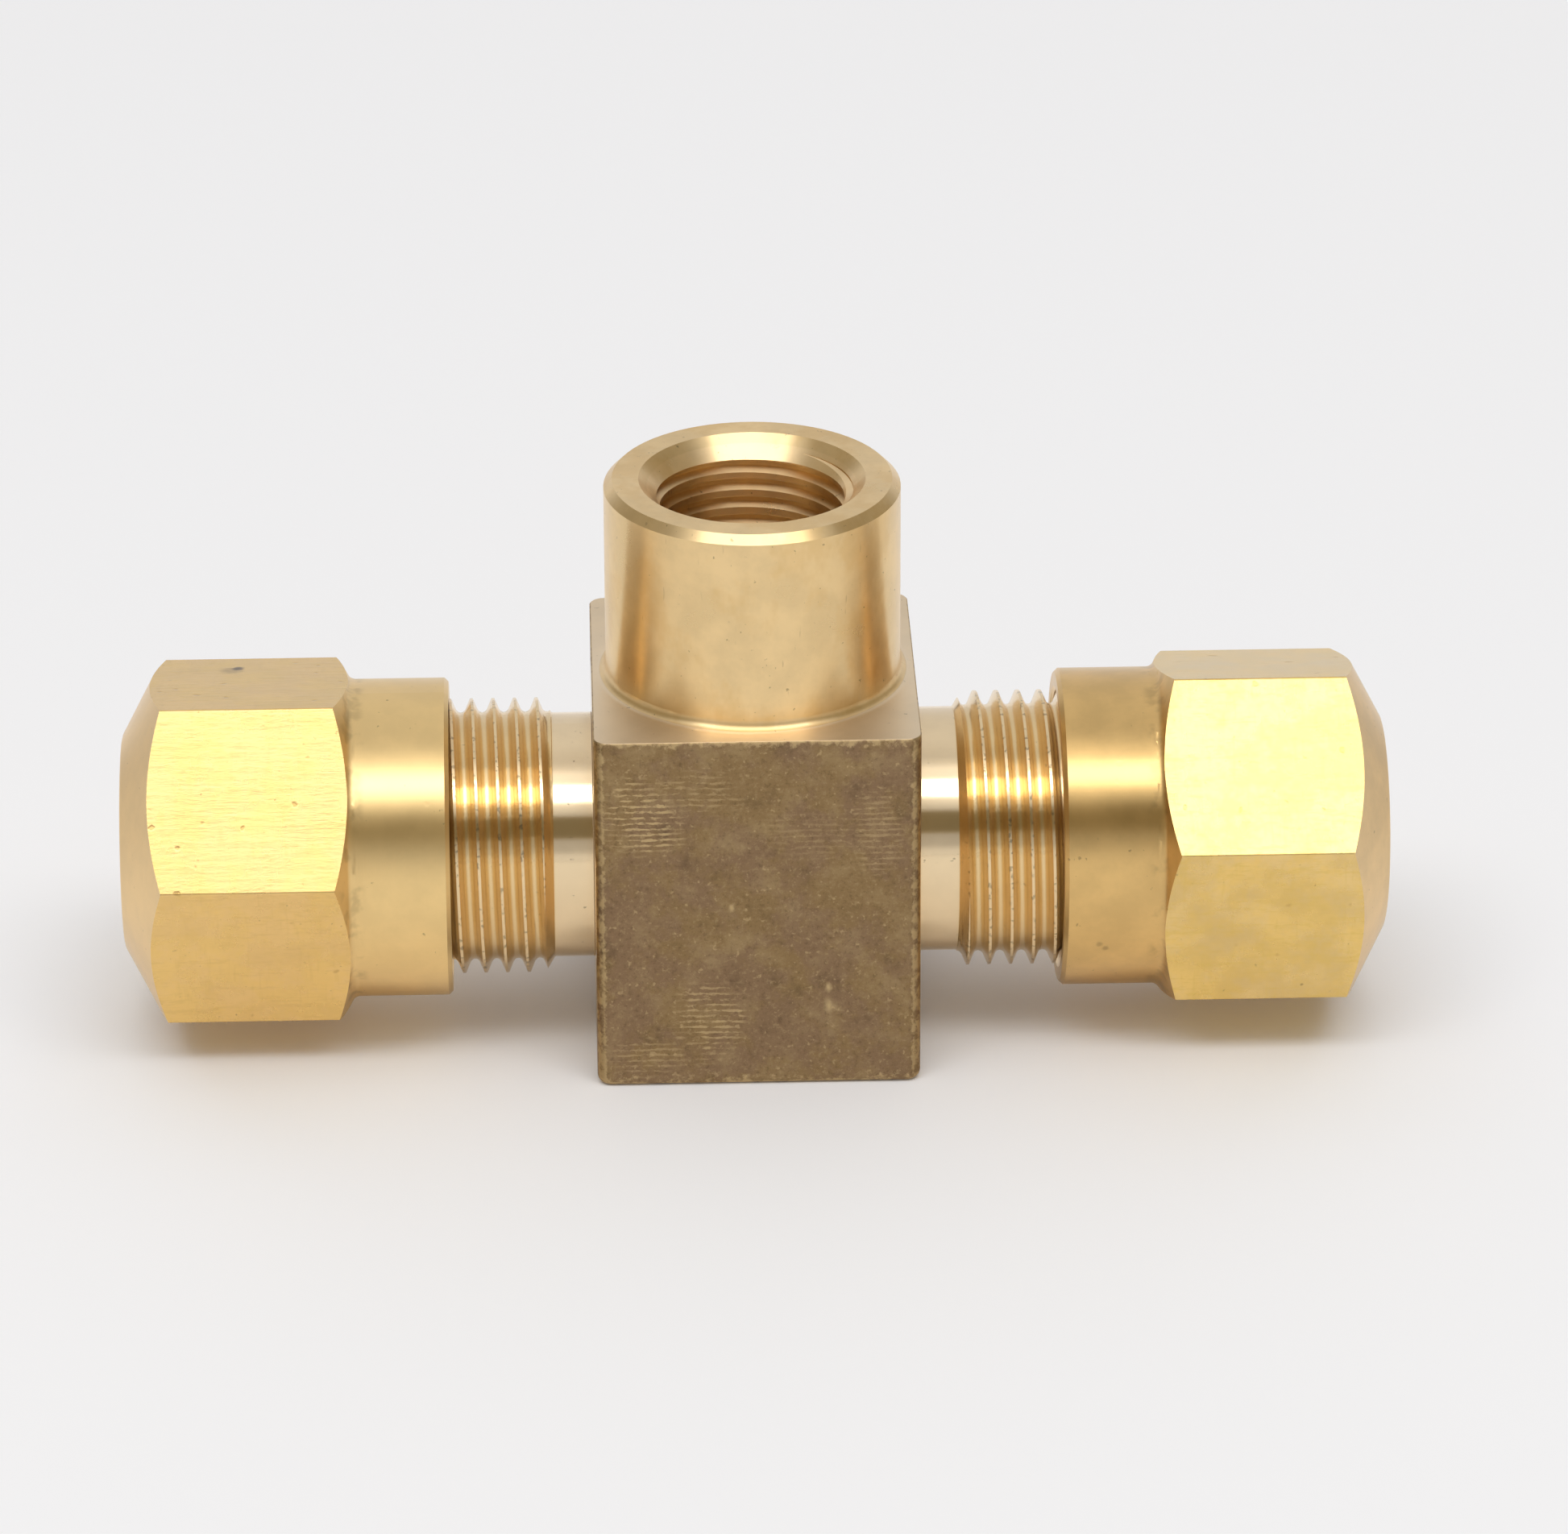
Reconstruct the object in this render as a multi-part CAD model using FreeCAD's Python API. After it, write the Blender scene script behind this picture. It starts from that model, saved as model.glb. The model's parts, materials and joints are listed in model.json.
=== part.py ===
import FreeCAD, Part
import math
import os

# Brass compression tee for 3/8 in air-brake tube, with a female pipe-threaded branch on top.
# Millimetres, +Z up. The run of the tee lies along X and the branch opens upwards.
# The origin is the centre of the block's bottom face, which the fitting stands on.
# "Reach" is a distance from the origin's YZ plane, measured outwards along either arm.

# Block and boss
BLOCK_WIDTH = 15.75
BLOCK_DEPTH = 17.0
BLOCK_HEIGHT = 18.5
BLOCK_CORNER_RADIUS = 0.7
BLOCK_BOTTOM_RADIUS = 0.45
BLOCK_TOP_CHAMFER = 0.06
RUN_HEIGHT = 9.63
BOSS_RADIUS = 7.18
BOSS_TOP = 28.6
BOSS_CHAMFER = 0.41
BOSS_FOOT_RADIUS = 0.5

# Arms with a 17/32-24 thread
THREAD_RADIUS = 6.747
THREAD_PITCH = 25.4 / 24
THREAD_DEPTH = 0.70
THREAD_CREST_WIDTH = 0.135
THREAD_ROOT_RADIUS = 0.25
THREAD_ROOT_ANGLE = 23.0
NECK_RADIUS = 6.0
NECK_END = 9.85
ARM_END = 19.5
LEFT_CREST_X = -13.77
RIGHT_CREST_X = 10.94
CREST_ANGLE = 64.6

# Bores inside the body
FLOW_RADIUS = 3.4
SOCKET_RADIUS = 4.85
SOCKET_BOTTOM = 10.5
SEAT_START = 17.25
SEAT_SLOPE = 1.0 / 3.0
SEAT_MOUTH_RADIUS = 5.6

# Branch port, 1/8-27 NPT
PIPE_PITCH = 25.4 / 27
PIPE_DRILL_RADIUS = 4.47
PIPE_DEPTH_BELOW_TOP = 10.6
PIPE_BACK_CREST = 26.78
PIPE_TURNS = 9
PIPE_RUN_OUT = 0.2
PIPE_GROOVE_RADIUS = 4.86
PIPE_ROOT_WIDTH = 0.2
PIPE_TAPER = 1.0 / 32.0
COUNTERSINK_RADIUS = 5.49
DRILL_POINT_SLOPE = math.tan(math.radians(31))

# Nuts, given at rest by reach
NUT_START = 14.87
NUT_END = 30.88
SKIRT_RADIUS = 7.79
SKIRT_CHAMFER = 0.2
HEX_ACROSS_FLATS = 15.875
HEX_RIDGE_RADIUS = 0.15
HEX_START = 19.69
HEX_START_SLOPE = math.tan(math.radians(28))
HEX_START_FILLET = 0.3
NOSE_SLOPE = math.tan(math.radians(28))
NOSE_FLAT_RADIUS = 5.1
NOSE_ROUNDING = 0.2
LEFT_RIDGE_ANGLE = 20.8
RIGHT_RIDGE_ANGLE = 14.0
THREAD_CLEARANCE = 0.08
NUT_MINOR_RADIUS = 6.28
NUT_THREAD_END = 24.0
NUT_RELIEF_RADIUS = 6.92
NUT_RELIEF_END = 24.7
NUT_MOUTH_RADIUS = 6.95
CAVITY_RADIUS = 5.65
CAVITY_END = 25.67
TUBE_BORE_RADIUS = 4.84
TUBE_BORE_EDGE = 0.08

# Sleeves and tube supports
SLEEVE_START = 21.99
SLEEVE_LENGTH = 5.6
SLEEVE_INSIDE_RADIUS = 4.8
SLEEVE_OUTSIDE_RADIUS = 5.5
SLEEVE_TIP_RADIUS = 5.0
SLEEVE_DEBURR = 0.1
SUPPORT_LENGTH = 12.4
SUPPORT_FLANGE_RADIUS = 4.7
SUPPORT_FLANGE_THICKNESS = 0.8
SUPPORT_TUBE_RADIUS = 3.12
SUPPORT_INSIDE_RADIUS = 2.6
SUPPORT_LEAD_IN = 0.25

Y_AXIS = FreeCAD.Vector(0, 1, 0)
Z_AXIS = FreeCAD.Vector(0, 0, 1)
RUN_POINT = FreeCAD.Vector(0, 0, RUN_HEIGHT)
FLANK = math.tan(math.radians(30))


def lathe(outline):
    """Revolve an outline of (radius, height) points about Z."""
    points = [FreeCAD.Vector(radius, 0, height) for radius, height in outline]
    points.append(points[0])
    face = Part.Face(Part.makePolygon(points))
    return face.revolve(FreeCAD.Vector(), Z_AXIS, 360)


def to_arm(shape, side):
    """Turn a shape made about +Z so that its axis is the run and +Z becomes the outward way."""
    placed = shape.copy()
    placed.rotate(FreeCAD.Vector(), Y_AXIS, 90 * side)
    placed.translate(RUN_POINT)
    return placed


def helical_cutter(section, pitch, turns, cone_angle=0.0):
    """Sweep a closed wire in the XZ plane along a right-hand helix about Z.

    The helix starts at height 0 and its radius is where the section's first point is.
    """
    radius = section.Vertexes[0].Point.x
    path = Part.makeLongHelix(pitch, pitch * turns, radius, cone_angle)
    return Part.Wire(path).makePipeShell([section], True, True)


def outside_groove():
    """Groove between two turns of the arm thread, with a rounded root."""
    half_width = (THREAD_PITCH - THREAD_CREST_WIDTH) / 2
    over = 0.04
    outside = THREAD_RADIUS + 0.25
    bottom = THREAD_RADIUS - THREAD_DEPTH
    lift = THREAD_ROOT_RADIUS * (1 - math.sin(math.radians(THREAD_ROOT_ANGLE)))
    root_half = THREAD_ROOT_RADIUS * math.cos(math.radians(THREAD_ROOT_ANGLE))
    top_half = half_width + over * math.tan(math.radians(THREAD_ROOT_ANGLE))
    a = FreeCAD.Vector(bottom + lift, 0, -root_half)
    b = FreeCAD.Vector(THREAD_RADIUS + over, 0, -top_half)
    c = FreeCAD.Vector(outside, 0, -top_half)
    d = FreeCAD.Vector(outside, 0, top_half)
    e = FreeCAD.Vector(THREAD_RADIUS + over, 0, top_half)
    f = FreeCAD.Vector(bottom + lift, 0, root_half)
    edges = [Part.makeLine(a, b), Part.makeLine(b, c), Part.makeLine(c, d), Part.makeLine(d, e)]
    edges.append(Part.makeLine(e, f))
    edges.append(Part.Arc(f, FreeCAD.Vector(bottom, 0, 0), a).toShape())
    return Part.Wire(edges)


def inside_groove(inner, outer, outer_half_width):
    """Trapezoid cut outwards into a bore: 60 degree flanks and a flat at the outer radius."""
    inner_half_width = outer_half_width + (outer - inner) * FLANK
    corners = [(outer, -outer_half_width), (inner, -inner_half_width)]
    corners += [(inner, inner_half_width), (outer, outer_half_width)]
    points = [FreeCAD.Vector(radius, 0, height) for radius, height in corners]
    return Part.makePolygon(points + [points[0]])


def crest_height(side, start):
    """Height of a thread crest above reach "start", at angle 0 of the arm's own frame."""
    crest_x = RIGHT_CREST_X if side > 0 else LEFT_CREST_X
    # In the arm's own frame the outward way is +Z and angle 0 points down (right) or up (left).
    zero_angle = -90.0 if side > 0 else 90.0
    at_zero = crest_x + THREAD_PITCH * (zero_angle - CREST_ANGLE) / 360.0
    return (side * at_zero - start) % THREAD_PITCH


def thread_on(side, section, start, end, offset):
    """Helical cutter that follows the arm's thread from reach start to reach end."""
    first = start + crest_height(side, start) + offset - THREAD_PITCH
    turns = math.ceil((end - first) / THREAD_PITCH)
    cutter = helical_cutter(section, THREAD_PITCH, turns)
    cutter.translate(FreeCAD.Vector(0, 0, first))
    return to_arm(cutter, side)


def arm_blank(side):
    """Arm turned to size: plain neck, sloped shoulder and the thread's outside diameter."""
    rise = THREAD_RADIUS - NECK_RADIUS
    outline = [(0, 0), (NECK_RADIUS, 0), (NECK_RADIUS, NECK_END)]
    outline += [(THREAD_RADIUS, NECK_END + rise * 0.6)]
    outline += [(THREAD_RADIUS, ARM_END - rise), (NECK_RADIUS, ARM_END), (0, ARM_END)]
    return to_arm(lathe(outline), side)


def arm_bore(side):
    """Flow bore, tube socket and conical seat for the sleeve."""
    seat_length = (SEAT_MOUTH_RADIUS - SOCKET_RADIUS) / SEAT_SLOPE
    over = ARM_END - SEAT_START - seat_length
    mouth = SEAT_MOUTH_RADIUS + over * SEAT_SLOPE
    outline = [(0, 0), (FLOW_RADIUS, 0), (FLOW_RADIUS, SOCKET_BOTTOM), (SOCKET_RADIUS, SOCKET_BOTTOM)]
    outline += [(SOCKET_RADIUS, SEAT_START), (mouth, ARM_END), (mouth, ARM_END + 1), (0, ARM_END + 1)]
    return to_arm(lathe(outline), side)


def block():
    """Block with rounded corners, softened bottom edges and a crisp top."""
    low = FreeCAD.Vector(-BLOCK_WIDTH / 2, -BLOCK_DEPTH / 2, 0)
    shape = Part.makeBox(BLOCK_WIDTH, BLOCK_DEPTH, BLOCK_HEIGHT, low)
    upright = [e for e in shape.Edges if abs(e.BoundBox.ZLength - BLOCK_HEIGHT) < 0.01]
    shape = shape.makeFillet(BLOCK_CORNER_RADIUS, upright)
    bottom = [e for e in shape.Edges if e.BoundBox.ZMax < 0.01]
    shape = shape.makeFillet(BLOCK_BOTTOM_RADIUS, bottom)
    top = [e for e in shape.Edges if e.BoundBox.ZMin > BLOCK_HEIGHT - 0.01]
    return shape.makeChamfer(BLOCK_TOP_CHAMFER, top)


def branch_bore():
    """Countersink at 45 degrees, tap drill and flow hole down to the run."""
    drill_end = BOSS_TOP - PIPE_DEPTH_BELOW_TOP
    point_end = drill_end - (PIPE_DRILL_RADIUS - FLOW_RADIUS) * DRILL_POINT_SLOPE
    countersink_foot = BOSS_TOP - (COUNTERSINK_RADIUS - PIPE_DRILL_RADIUS)
    outline = [(0, RUN_HEIGHT), (FLOW_RADIUS, RUN_HEIGHT), (FLOW_RADIUS, point_end)]
    outline += [(PIPE_DRILL_RADIUS, drill_end), (PIPE_DRILL_RADIUS, countersink_foot)]
    outline += [(COUNTERSINK_RADIUS + 1, BOSS_TOP + 1), (0, BOSS_TOP + 1)]
    return lathe(outline)


def pipe_thread():
    """Tapered helical groove, cut outwards from the straight tap drill.

    It runs out on the countersink, part of a turn past its full turns.
    """
    # The groove starts above +X, where it lies a quarter turn below its height at the back.
    bottom = PIPE_BACK_CREST + PIPE_PITCH * (0.25 - PIPE_TURNS + 1)
    outer = PIPE_GROOVE_RADIUS - (PIPE_BACK_CREST - bottom) * PIPE_TAPER
    section = inside_groove(PIPE_DRILL_RADIUS - 0.35, outer, PIPE_ROOT_WIDTH / 2)
    turns = PIPE_TURNS + PIPE_RUN_OUT
    cutter = helical_cutter(section, PIPE_PITCH, turns, math.degrees(math.atan(PIPE_TAPER)))
    cutter.translate(FreeCAD.Vector(0, 0, bottom))
    return cutter


def block_with_boss():
    """Block with the turned boss on top, and a small fillet where the two meet."""
    boss = [(0, RUN_HEIGHT), (BOSS_RADIUS, RUN_HEIGHT), (BOSS_RADIUS, BOSS_TOP - BOSS_CHAMFER)]
    boss += [(BOSS_RADIUS - BOSS_CHAMFER, BOSS_TOP), (0, BOSS_TOP)]
    shape = block().fuse(lathe(boss))
    level = [e for e in shape.Edges if abs(e.BoundBox.ZMin - BLOCK_HEIGHT) + e.BoundBox.ZLength < 0.01]
    foot = [e for e in level if isinstance(e.Curve, Part.Circle)]
    foot = [e for e in foot if abs(e.Curve.Radius - BOSS_RADIUS) < 0.01]
    return shape.makeFillet(BOSS_FOOT_RADIUS, foot)


def tee_body():
    body = block_with_boss().fuse([arm_blank(-1), arm_blank(1)])
    body = body.cut([branch_bore(), arm_bore(-1), arm_bore(1)])
    body = body.cut(pipe_thread())
    for side in (-1, 1):
        groove = thread_on(side, outside_groove(), NECK_END - THREAD_PITCH, ARM_END, THREAD_PITCH / 2)
        body = body.cut(groove)
    return body


def nut_hex(ridge_angle):
    """Hexagonal prism with softened ridges, the first of them at ridge_angle from +X towards +Y."""
    corner = HEX_ACROSS_FLATS / 2 / math.cos(math.radians(30))
    angles = [math.radians(ridge_angle + 60 * k) for k in range(7)]
    points = [FreeCAD.Vector(corner * math.cos(a), corner * math.sin(a), NUT_START) for a in angles]
    prism = Part.Face(Part.makePolygon(points)).extrude(Z_AXIS * (NUT_END - NUT_START))
    ridges = [e for e in prism.Edges if e.BoundBox.ZLength > 1]
    return prism.makeFillet(HEX_RIDGE_RADIUS, ridges)


def nut_turned():
    """Turned envelope of the nut: skirt, cone behind the hexagon, and conical nose with a flat end."""
    wide = HEX_ACROSS_FLATS * 0.62
    fillet_half = HEX_START_FILLET / 2
    cone_rise = HEX_START_FILLET * HEX_START_SLOPE
    cone = FreeCAD.Vector(SKIRT_RADIUS + HEX_START_FILLET, 0, HEX_START + cone_rise)
    fillet_start = FreeCAD.Vector(SKIRT_RADIUS, 0, HEX_START - HEX_START_FILLET)
    fillet_middle = FreeCAD.Vector(SKIRT_RADIUS + fillet_half * 0.4, 0, HEX_START - fillet_half * 0.3)
    nose = NUT_END - NOSE_ROUNDING * NOSE_SLOPE / 2
    points = [
        FreeCAD.Vector(0, 0, NUT_START),
        FreeCAD.Vector(SKIRT_RADIUS - SKIRT_CHAMFER, 0, NUT_START),
        FreeCAD.Vector(SKIRT_RADIUS, 0, NUT_START + SKIRT_CHAMFER),
        fillet_start,
        cone,
        FreeCAD.Vector(wide, 0, HEX_START + (wide - SKIRT_RADIUS) * HEX_START_SLOPE),
        FreeCAD.Vector(wide, 0, nose - (wide - NOSE_FLAT_RADIUS - NOSE_ROUNDING) * NOSE_SLOPE),
        FreeCAD.Vector(NOSE_FLAT_RADIUS + NOSE_ROUNDING, 0, nose),
        FreeCAD.Vector(NOSE_FLAT_RADIUS, 0, NUT_END),
        FreeCAD.Vector(0, 0, NUT_END)]
    edges = [Part.makeLine(p, q) for p, q in zip(points, points[1:] + points[:1])]
    edges[3] = Part.Arc(fillet_start, fillet_middle, cone).toShape()
    return Part.Face(Part.Wire(edges)).revolve(FreeCAD.Vector(), Z_AXIS, 360)


def nut_bore():
    """Threaded mouth, thread relief, sleeve cavity, conical seat and tube bore."""
    seat_end = CAVITY_END + (CAVITY_RADIUS - TUBE_BORE_RADIUS) / SEAT_SLOPE
    mouth = NUT_MOUTH_RADIUS - NUT_MINOR_RADIUS
    outline = [(0, NUT_START - 1), (NUT_MOUTH_RADIUS + 1, NUT_START - 1)]
    outline += [(NUT_MINOR_RADIUS, NUT_START + mouth)]
    outline += [(NUT_MINOR_RADIUS, NUT_THREAD_END), (NUT_RELIEF_RADIUS, NUT_THREAD_END)]
    outline += [(NUT_RELIEF_RADIUS, NUT_RELIEF_END), (CAVITY_RADIUS, NUT_RELIEF_END)]
    outline += [(CAVITY_RADIUS, CAVITY_END), (TUBE_BORE_RADIUS, seat_end)]
    outline += [(TUBE_BORE_RADIUS, NUT_END - TUBE_BORE_EDGE)]
    outline += [(TUBE_BORE_RADIUS + 1, NUT_END - TUBE_BORE_EDGE + 1), (0, NUT_END + 1)]
    return lathe(outline)


def nut(side, ridge_angle):
    # In the arm's own frame angle 0 points down on the right arm and up on the left arm, and the
    # angle grows towards +Y, so a ridge "ridge_angle" from +Z towards -Y is found from there.
    own_angle = 180 + ridge_angle if side > 0 else -ridge_angle
    blank = nut_hex(own_angle).common(nut_turned())
    shape = to_arm(blank.cut(nut_bore()), side)
    root_radius = THREAD_RADIUS + THREAD_CLEARANCE
    flank_gap = THREAD_CLEARANCE / math.cos(math.radians(30)) - THREAD_CLEARANCE * FLANK
    root_half = THREAD_CREST_WIDTH / 2 + flank_gap
    section = inside_groove(NUT_MINOR_RADIUS - 0.15, root_radius, root_half)
    return shape.cut(thread_on(side, section, NUT_START - THREAD_PITCH, NUT_THREAD_END + 0.3, 0))


def sleeve(side):
    """Plain sleeve, tapered at both ends to match the seats in the body and the nut."""
    taper = (SLEEVE_OUTSIDE_RADIUS - SLEEVE_TIP_RADIUS) / SEAT_SLOPE
    outline = [(SLEEVE_INSIDE_RADIUS, SLEEVE_DEBURR), (SLEEVE_INSIDE_RADIUS + SLEEVE_DEBURR, 0)]
    outline += [(SLEEVE_TIP_RADIUS, 0), (SLEEVE_OUTSIDE_RADIUS, taper)]
    outline += [(SLEEVE_OUTSIDE_RADIUS, SLEEVE_LENGTH - taper), (SLEEVE_TIP_RADIUS, SLEEVE_LENGTH)]
    outline += [(SLEEVE_INSIDE_RADIUS + SLEEVE_DEBURR, SLEEVE_LENGTH)]
    outline += [(SLEEVE_INSIDE_RADIUS, SLEEVE_LENGTH - SLEEVE_DEBURR)]
    return to_arm(lathe([(radius, SLEEVE_START + height) for radius, height in outline]), side)


def tube_support(side):
    """Flanged liner for the tube's end, with a lead-in at its free tip."""
    tip = SUPPORT_LENGTH
    outline = [(SUPPORT_INSIDE_RADIUS, 0), (SUPPORT_FLANGE_RADIUS, 0)]
    outline += [(SUPPORT_FLANGE_RADIUS, SUPPORT_FLANGE_THICKNESS)]
    outline += [(SUPPORT_TUBE_RADIUS, SUPPORT_FLANGE_THICKNESS)]
    outline += [(SUPPORT_TUBE_RADIUS, tip - SUPPORT_LEAD_IN), (SUPPORT_TUBE_RADIUS - SUPPORT_LEAD_IN, tip)]
    outline += [(SUPPORT_INSIDE_RADIUS, tip)]
    return to_arm(lathe([(radius, SOCKET_BOTTOM + height) for radius, height in outline]), side)


def write(name, shape):
    os.makedirs("parts", exist_ok=True)
    solids = shape.Solids
    print(f"{name}: {len(solids)} solid, valid {shape.isValid()}, {shape.Volume:.1f} mm3, {shape.BoundBox}")
    solids[0].exportStep(f"parts/{name}.step")


write("tee_body", tee_body())
for side_name, side_sign, ridge in (("left", -1, LEFT_RIDGE_ANGLE), ("right", 1, RIGHT_RIDGE_ANGLE)):
    write(f"{side_name}_nut", nut(side_sign, ridge))
    write(f"{side_name}_sleeve", sleeve(side_sign))
    write(f"{side_name}_tube_support", tube_support(side_sign))
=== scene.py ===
"""Brass compression tee on a pale studio floor: materials, light and camera around the CAD frame."""

import json
import math

import bpy
from mathutils import Matrix, Vector

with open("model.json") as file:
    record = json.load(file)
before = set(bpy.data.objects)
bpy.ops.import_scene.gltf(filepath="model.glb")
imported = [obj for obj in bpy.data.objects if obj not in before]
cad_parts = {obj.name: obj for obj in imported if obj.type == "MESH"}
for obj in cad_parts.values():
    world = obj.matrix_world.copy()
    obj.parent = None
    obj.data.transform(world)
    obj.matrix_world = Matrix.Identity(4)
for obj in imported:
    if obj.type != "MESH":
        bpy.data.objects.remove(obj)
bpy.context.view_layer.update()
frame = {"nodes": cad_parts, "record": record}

# Places on the object, in metres. The run is the axis through both arms, the branch is the Z axis.
# A reach is a distance from the middle along the run.
MM = 0.001
MOUNTS = {mount["name"]: mount for mount in frame["record"]["mounts"]}
RUN_HEIGHT = MOUNTS["left_tube_port"]["pos_m"][2]
BLOCK_TOP = 18.5 * MM
BLOCK_HALF_WIDTH = 7.875 * MM
BLOCK_HALF_DEPTH = 8.5 * MM
BLOCK_CORNER = 0.45 * MM
EDGE_GAP = 0.03 * MM
FACED_RADIUS = 8.3 * MM
BRANCH_BORE_RADIUS = 5.05 * MM
RUN_BORE_RADIUS = 5.6 * MM
NECK_END = 9.85 * MM
THREAD_RADIUS = 6.747 * MM
CREST_RADIUS = 6.6 * MM
NUT_BORE_RADIUS = THREAD_RADIUS + 0.1 * MM
SKIRT_RADIUS = 7.79 * MM
HEX_START = 19.69 * MM
NOSE_START = 28.8 * MM
BUMP_DEPTH = 0.0012 * MM

# Colours as linear red, green and blue. Side -1 is the left nut and 1 the right one.
NUT_FLATS = {-1: (0.87, 0.59, 0.240), 1: (0.83, 0.595, 0.245)}
YELLOWED_FLATS = {-1: (0.87, 0.59, 0.213), 1: (0.85, 0.592, 0.202)}
DRAWN_LINES = {-1: (0.66, 0.44, 0.15), 1: (0.76, 0.53, 0.14)}
PIT_BRASS = (0.55, 0.34, 0.11)
SMUDGE_BRASS = (0.76, 0.50, 0.20)
ARM_BRASS = (0.89, 0.70, 0.44)
THREAD_BRASS = (0.85, 0.635, 0.335)
BOSS_BRASS = (0.87, 0.64, 0.33)
FACED_BRASS = (0.90, 0.73, 0.50)
NUT_SKIRTS = {-1: (0.90, 0.65, 0.295), 1: (0.76, 0.505, 0.20)}
NUT_NOSES = {-1: (0.86, 0.62, 0.32), 1: (0.80, 0.57, 0.29)}
INNER_BRASS = (0.95, 0.70, 0.38)
SLEEVE_BRASS = (0.88, 0.64, 0.30)
TARNISH_BROWN = (0.322, 0.208, 0.116)
TARNISH_GOLD = (0.346, 0.228, 0.106)
TARNISH_LIGHT = (0.520, 0.380, 0.195)
WORN_BRASS = (0.700, 0.520, 0.270)
GRIME = (0.090, 0.060, 0.035)

# The nuts' finish by side: range of the mottling, strength of the drawn lines, roughness of the skirt
NUT_MOTTLE = {-1: (0.94, 1.03), 1: (0.90, 1.06)}
DRAWN_STRENGTH = {-1: 0.26, 1: 0.45}
SKIRT_ROUGHNESS = {-1: 0.39, 1: 0.335}

# Dark handling marks by side: reach, y, height over the run and radius in millimetres, then strength
NUT_MARKS = {
    -1: (
        (25.2, 3.95, 7.4, 0.42, 0.85),
        (25.5, 3.6, 7.4, 0.75, 0.35),
        (20.7, -6.6, 1.4, 0.9, 0.25),
        (27.6, -5.0, 6.1, 0.25, 0.30),
        (26.7, -6.6, 1.9, 0.30, 0.25),
        (27.9, -6.0, 3.0, 0.22, 0.25)),
    1: (
        (16.6, -7.2, -2.9, 0.22, 0.30),
        (16.9, -7.1, -3.2, 0.22, 0.35),
        (27.3, -7.3, -1.2, 0.2, 0.4))}

# Places on the block where its skin is rubbed into level lines: middle x and z, half width and half height
# in millimetres, then strength
RUBBED_PATCHES = (
    (-5.6, 14.6, 2.3, 2.3, 1.0),
    (-2.4, 3.6, 1.8, 2.2, 0.75),
    (-3.5, 15.8, 2.6, 1.2, 0.5),
    (2.5, 13.5, 2.6, 1.4, 0.25),
    (-5.5, 1.6, 2.2, 1.0, 0.5),
    (5.8, 13.5, 1.3, 2.6, 0.45))
RUB_LINE_PITCH = 0.30 * MM

# Light spots on the block: x, z and radius in millimetres. Heights count less, so the spots are tall.
LIGHT_SPOTS = ((3.4, 4.3, 0.42), (3.35, 5.3, 0.22), (-1.3, 9.6, 0.25))
SPOT_HEIGHT_SHARE = 0.8

# Brightness of the room by angle in degrees: 0 is level in front, 90 straight up, 180 level behind. Towards
# the sides it changes to one brightness, between two values of the sideways part of the direction.
ROOM_LIGHT = (
    (0, 0.80), (5, 0.78), (10, 0.52), (20, 0.46), (23, 0.18), (41, 0.19), (44, 0.64), (50, 0.90),
    (54, 1.05), (57, 1.28), (84, 1.25), (90, 0.85), (97, 0.70), (120, 0.76), (150, 0.72), (180, 0.74))
ROOM_SIDES = 0.27
SIDES_FROM, SIDES_TO = 0.46, 0.74
ROOM_TINT = (1.0, 1.0, 1.03)
DARK_BAND_TINT = (1.12, 0.95, 0.62)
BACKDROP = (0.87, 0.885, 0.905)
FLOOR_COLOUR = (0.945, 0.95, 0.96)
FLOOR_GLOW = 0.03
FLOOR_HALF = 3.0

# Long lamp inside the room's bright band
LAMP_ELEVATION = math.radians(64.5)
LAMP_WIDTH = 1.15
LAMP_HEIGHT = 0.29
LAMP_RADIANCE = 2.9

# Camera at the photograph's place and angle
CAMERA_PLACE = (-0.00993, -0.37852, 0.19428)
CAMERA_TURN = math.radians(-1.73)
CAMERA_TILT = math.radians(90 - 25.57)
CAMERA_ROLL = math.radians(-0.18)
LENS = 196.7


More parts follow.
